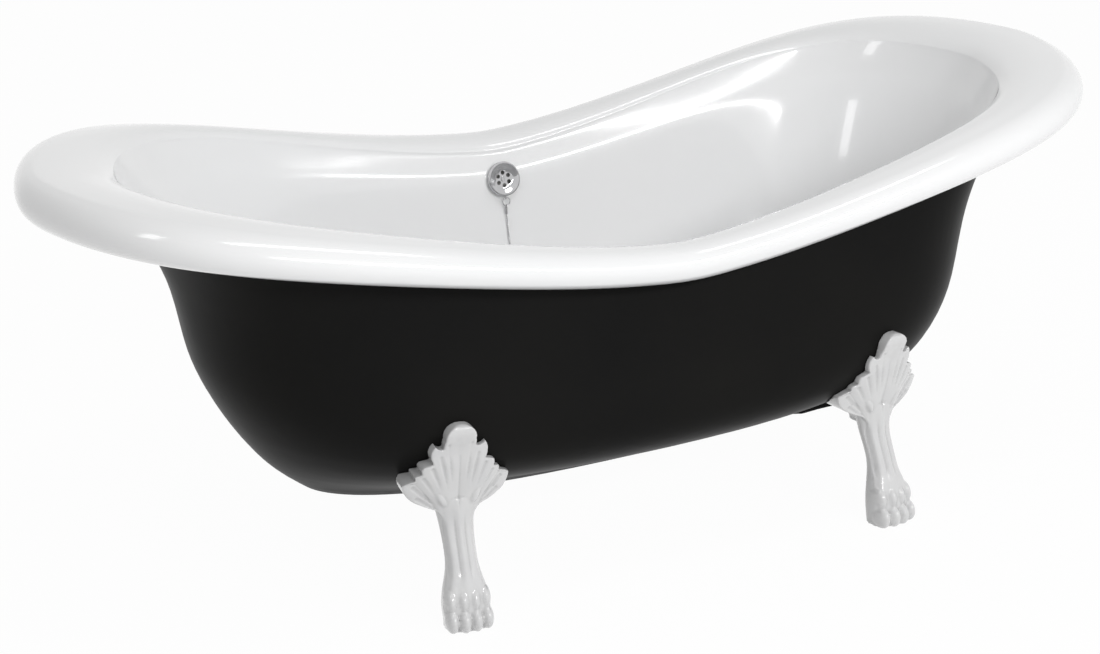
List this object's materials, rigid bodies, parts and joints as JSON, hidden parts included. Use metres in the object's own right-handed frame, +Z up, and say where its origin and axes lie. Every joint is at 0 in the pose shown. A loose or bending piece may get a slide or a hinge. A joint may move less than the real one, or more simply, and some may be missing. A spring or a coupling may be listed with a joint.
{
  "type": "clawfoot bathtub",
  "caption": "Double-ended slipper bathtub with a rolled rim, black outer skin, white claw feet, overflow, and a waste closed by a plug on a bead chain.",
  "frame": {"origin": "on the floor under the middle of the tub, level with the undersides of the feet", "axes": "+X along the tub, +Y across it towards the side with the overflow, +Z up"},
  "size_m": [1.8802, 0.801, 0.7092],
  "materials": {
    "white_acrylic": "high gloss white acrylic",
    "black_skin": "satin black",
    "board": "raw board, sealed between the skins",
    "brass_insert": "turned",
    "white_enamel": "gloss white enamel on cast metal",
    "zinc_steel": "zinc plated",
    "chrome": "polished chrome",
    "black_rubber": "soft black rubber",
    "waste_plastic": "moulded white plastic",
    "chain": "polished bead chain"
  },
  "bodies": {
    "tub": {"basin_shell": "white_acrylic", "outer_skin": "black_skin", "base_board": "board", "threaded_inserts": "brass_insert", "foot_near_right": "white_enamel", "foot_near_left": "white_enamel", "foot_far_right": "white_enamel", "foot_far_left": "white_enamel", "foot_bolts": "zinc_steel", "foot_washers": "zinc_steel", "overflow_rose": "chrome", "overflow_screw": "chrome", "overflow_front_gasket": "black_rubber", "overflow_back_gasket": "black_rubber", "overflow_body": "waste_plastic", "overflow_hose": "waste_plastic", "hose_clips": "zinc_steel", "waste_flange": "chrome", "waste_upper_gasket": "black_rubber", "waste_lower_gasket": "black_rubber", "waste_body": "waste_plastic", "waste_screw": "chrome", "chain_upper": "chain", "chain_lower": "chain"},
    "plug": {"plug_seal": "black_rubber", "plug_cap": "chrome", "plug_eye": "chrome", "plug_link": "chrome"},
    "ring": {"chain_ring": "chrome", "chain_coupling": "chrome"},
    "leveller_near_right": {"leveller_near_right": "zinc_steel"},
    "leveller_near_left": {"leveller_near_left": "zinc_steel"},
    "leveller_far_right": {"leveller_far_right": "zinc_steel"},
    "leveller_far_left": {"leveller_far_left": "zinc_steel"}
  },
  "joints": [
    {"name": "plug_lift", "type": "slide", "parent": "tub", "child": "plug", "axis": [0, 0, 1], "range_m": [0, 0.12]},
    {"name": "ring_swing", "type": "hinge", "parent": "tub", "child": "ring", "pos_m": [0, 0.27983, 0.45923], "axis": [-1, 0, 0], "range_deg": [0, 60]},
    {"name": "level_near_right", "type": "slide", "parent": "tub", "child": "leveller_near_right", "axis": [0, 0, -1], "range_m": [0, 0.012]},
    {"name": "level_near_left", "type": "slide", "parent": "tub", "child": "leveller_near_left", "axis": [0, 0, -1], "range_m": [0, 0.012]},
    {"name": "level_far_right", "type": "slide", "parent": "tub", "child": "leveller_far_right", "axis": [0, 0, -1], "range_m": [0, 0.012]},
    {"name": "level_far_left", "type": "slide", "parent": "tub", "child": "leveller_far_left", "axis": [0, 0, -1], "range_m": [0, 0.012]}
  ]
}
